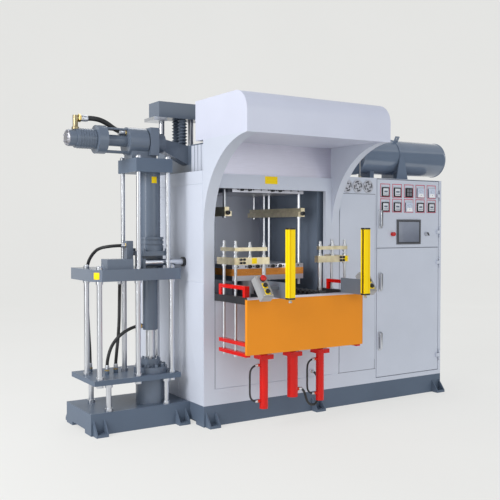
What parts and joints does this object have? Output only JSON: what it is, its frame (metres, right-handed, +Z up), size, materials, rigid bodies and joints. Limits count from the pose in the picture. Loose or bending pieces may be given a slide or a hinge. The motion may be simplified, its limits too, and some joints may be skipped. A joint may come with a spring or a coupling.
{
  "type": "injection molding machine",
  "caption": "Upright rubber injection moulding press with a column-built injection unit, a front table with lifts and light curtains, an arched hood and an electrical cabinet.",
  "frame": {"origin": "middle of the machine's footprint, on the floor", "axes": "+X to the operator's right along the front, +Y to the rear, +Z up"},
  "size_m": [3.465, 1.96, 2.43],
  "materials": {
    "base_paint": "satin",
    "housing_paint": "satin",
    "hood_paint": "satin",
    "stainless": "brushed",
    "machine_paint": "satin",
    "insulation": "matte",
    "plate_steel": "ground",
    "zinc": "zinc plated",
    "chrome": "polished",
    "black_steel": "satin",
    "orange_paint": "satin",
    "red_paint": "gloss",
    "arm_paint": "satin",
    "curtain_yellow": "satin",
    "box_plastic": "fine grain",
    "button_plastic": "gloss",
    "grille_plastic": "matte",
    "instrument_plastic": "satin",
    "screen_plastic": "matte",
    "tank_paint": "satin",
    "hose_rubber": "matte"
  },
  "bodies": {
    "machine": {"main_base": "base_paint", "left_arch_panel": "housing_paint", "right_arch_panel": "housing_paint", "front_frame": "housing_paint", "header_panel": "stainless", "rear_panel": "housing_paint", "hood": "hood_paint", "press_uprights": "machine_paint", "crown": "machine_paint", "upper_insulation": "insulation", "upper_hot_plate": "plate_steel", "middle_rails": "zinc", "press_rods": "chrome", "clamp_cylinder": "machine_paint", "top_crosshead": "machine_paint", "table_frame": "black_steel", "table_rollers": "black_steel", "front_skirt": "orange_paint", "table_arms": "arm_paint", "light_curtains": "curtain_yellow", "control_boxes": "box_plastic", "control_buttons": "button_plastic", "lift_cylinders": "red_paint", "lift_guides": "red_paint", "service_housing": "housing_paint", "fan_grilles": "grille_plastic", "cabinet_shell": "housing_paint", "hydraulic_tank": "tank_paint", "tank_saddles": "tank_paint", "injection_base": "base_paint", "injection_lower_plate": "base_paint", "injection_cylinder": "machine_paint", "injection_columns": "chrome", "injection_mid_plate": "machine_paint", "injection_nozzle": "chrome", "injection_barrel": "machine_paint", "injection_top_plate": "base_paint", "plasticiser": "machine_paint", "drive_motor": "machine_paint", "motor_hose": "hose_rubber", "barrel_hose": "hose_rubber", "drain_hose": "hose_rubber", "ram_hose": "hose_rubber", "cross_hose": "hose_rubber", "left_lift_hose": "hose_rubber", "right_lift_hose": "hose_rubber"},
    "platen": {"moving_platen": "plate_steel", "lower_insulation": "insulation", "lower_hot_plate": "plate_steel"},
    "left_lift": {"left_lift_bars": "zinc", "left_lift_rods": "chrome", "left_lift_ties": "red_paint"},
    "right_lift": {"right_lift_bars": "zinc", "right_lift_rods": "chrome", "right_lift_ties": "red_paint"},
    "injection_rod": {"injection_rod": "chrome"},
    "cabinet_door": {"cabinet_door": "housing_paint"},
    "instrument_door": {"instrument_door": "housing_paint", "instruments": "instrument_plastic", "touch_screen": "screen_plastic"}
  },
  "joints": [
    {"name": "platen_slide", "type": "slide", "parent": "machine", "child": "platen", "axis": [0, 0, 1], "range_m": [0, 0.35]},
    {"name": "left_lift_slide", "type": "slide", "parent": "machine", "child": "left_lift", "axis": [0, 0, 1], "range_m": [0, 0.25]},
    {"name": "right_lift_slide", "type": "slide", "parent": "machine", "child": "right_lift", "axis": [0, 0, 1], "range_m": [0, 0.25]},
    {"name": "injection_slide", "type": "slide", "parent": "machine", "child": "injection_rod", "axis": [0, 0, 1], "range_m": [0, 0.24]},
    {"name": "cabinet_door_hinge", "type": "hinge", "parent": "machine", "child": "cabinet_door", "pos_m": [1.5545, -0.268, 0.74], "axis": [0, 0, 1], "range_deg": [0, 110]},
    {"name": "instrument_door_hinge", "type": "hinge", "parent": "machine", "child": "instrument_door", "pos_m": [1.5545, -0.268, 1.58], "axis": [0, 0, 1], "range_deg": [0, 110]}
  ]
}
